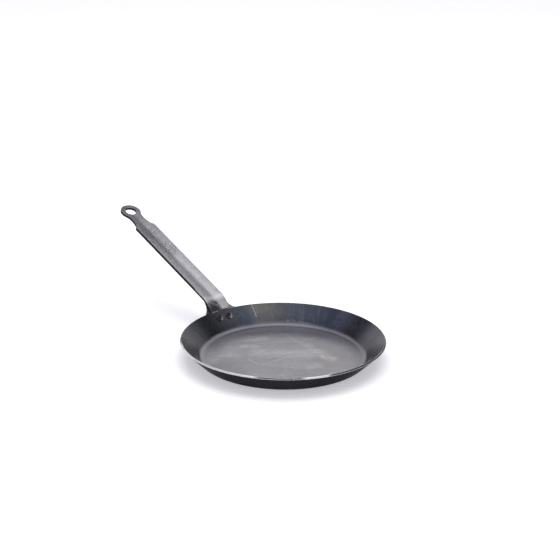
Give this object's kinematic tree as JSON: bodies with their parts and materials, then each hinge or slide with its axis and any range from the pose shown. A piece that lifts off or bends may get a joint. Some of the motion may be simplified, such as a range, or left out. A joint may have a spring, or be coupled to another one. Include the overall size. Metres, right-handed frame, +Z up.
{
  "type": "crepe pan",
  "caption": "Shallow carbon steel crepe pan with a flared wall and a long riveted strip handle ending in a hanging eye.",
  "frame": {"origin": "centre of the round base, on the surface that the pan stands on", "axes": "+Z up out of the pan, +X towards the handle's hanging eye"},
  "size_m": [0.3659, 0.1996, 0.0905],
  "materials": {
    "blued_steel": "blued, worn smooth",
    "handle_steel": "tumbled matte",
    "rivet_steel": "blued, worn"
  },
  "bodies": {
    "root": {"pan_body": "blued_steel", "handle": "handle_steel", "rivet_left": "rivet_steel", "rivet_right": "rivet_steel"}
  },
  "joints": []
}
